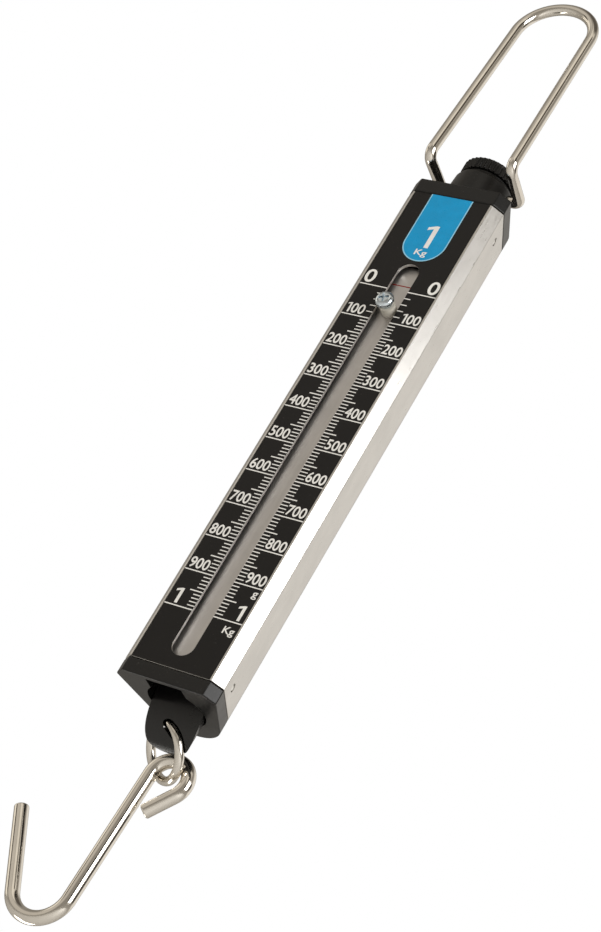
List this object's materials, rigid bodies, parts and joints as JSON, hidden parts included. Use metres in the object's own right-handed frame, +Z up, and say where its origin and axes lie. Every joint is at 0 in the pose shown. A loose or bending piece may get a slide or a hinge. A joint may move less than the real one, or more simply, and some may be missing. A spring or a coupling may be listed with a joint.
{
  "type": "hanging spring scale",
  "caption": "Slim hanging spring scale with a slotted dial face, wire handle, zero knob, and a hook on a ring.",
  "frame": {"origin": "inner top of the handle's wire loop, where the scale hangs", "axes": "+Z up along the case, -Y out of the scale face, +X to the right as the scale is read"},
  "size_m": [0.045, 0.0287, 0.2797],
  "materials": {
    "aluminium_case": "satin anodised, lengthwise drawn",
    "label_black": "printed semi-gloss",
    "black_plastic": "semi-gloss moulded",
    "nickel_wire": "bright nickel plate",
    "plain_steel": "plain",
    "zinc_plate": "bright zinc plate",
    "brass": "turned",
    "nylon": "natural",
    "rubber": "matt"
  },
  "bodies": {
    "handle": {"handle_wire": "nickel_wire"},
    "case": {"case_tube": "aluminium_case", "scale_plate": "label_black", "top_cap": "black_plastic", "bottom_cap": "black_plastic", "adjuster_guide": "plain_steel", "stop_bumper": "rubber", "knob_washer": "nylon", "cap_pin_top_left": "plain_steel", "cap_pin_top_right": "plain_steel", "cap_pin_bottom_left": "plain_steel", "cap_pin_bottom_right": "plain_steel"},
    "knob": {"zero_knob": "black_plastic", "knob_nut": "brass"},
    "adjuster": {"adjuster_rod": "plain_steel", "tension_spring": "plain_steel"},
    "carriage": {"carriage_strip": "plain_steel", "guide_block": "nylon", "pointer_screw": "zinc_plate", "pointer_collar": "nylon", "pointer_nut": "zinc_plate", "hook_puller": "black_plastic", "puller_rivet_left": "plain_steel", "puller_rivet_right": "plain_steel"},
    "ring": {"ring": "nickel_wire"},
    "hook": {"hook": "nickel_wire"}
  },
  "joints": [
    {"name": "handle_pivot", "type": "hinge", "parent": "handle", "child": "case", "pos_m": [0, 0.00891, -0.05805], "axis": [1, 0, 0], "range_deg": [-20, 120]},
    {"name": "knob_turn", "type": "hinge", "parent": "case", "child": "knob", "pos_m": [0, 0.00891, -0.05285], "axis": [0, 0, 1], "range_deg": [-270, 900]},
    {"name": "adjuster_slide", "type": "slide", "parent": "case", "child": "adjuster", "axis": [0, 0, 1], "range_m": [-0.00312, 0.00094]},
    {"name": "carriage_travel", "type": "slide", "parent": "adjuster", "child": "carriage", "axis": [0, 0, -1], "range_m": [0, 0.101], "stiffness_N_per_m": 98.1, "springref_m": -0.0022, "deforming": ["tension_spring"]},
    {"name": "ring_swing", "type": "hinge", "parent": "carriage", "child": "ring", "pos_m": [-0.00325, 0.01273, -0.22202], "axis": [0.8676, -0.4782, -0.1361], "range_deg": [-40, 0]},
    {"name": "hook_swing", "type": "hinge", "parent": "ring", "child": "hook", "pos_m": [0.00264, 0.01859, -0.23235], "axis": [0, 1, 0], "range_deg": [-30, 40]}
  ],
  "couplings": [
    {"joint": "knob_turn", "follows": "adjuster_slide", "rad_per_m": -5026.5}
  ]
}
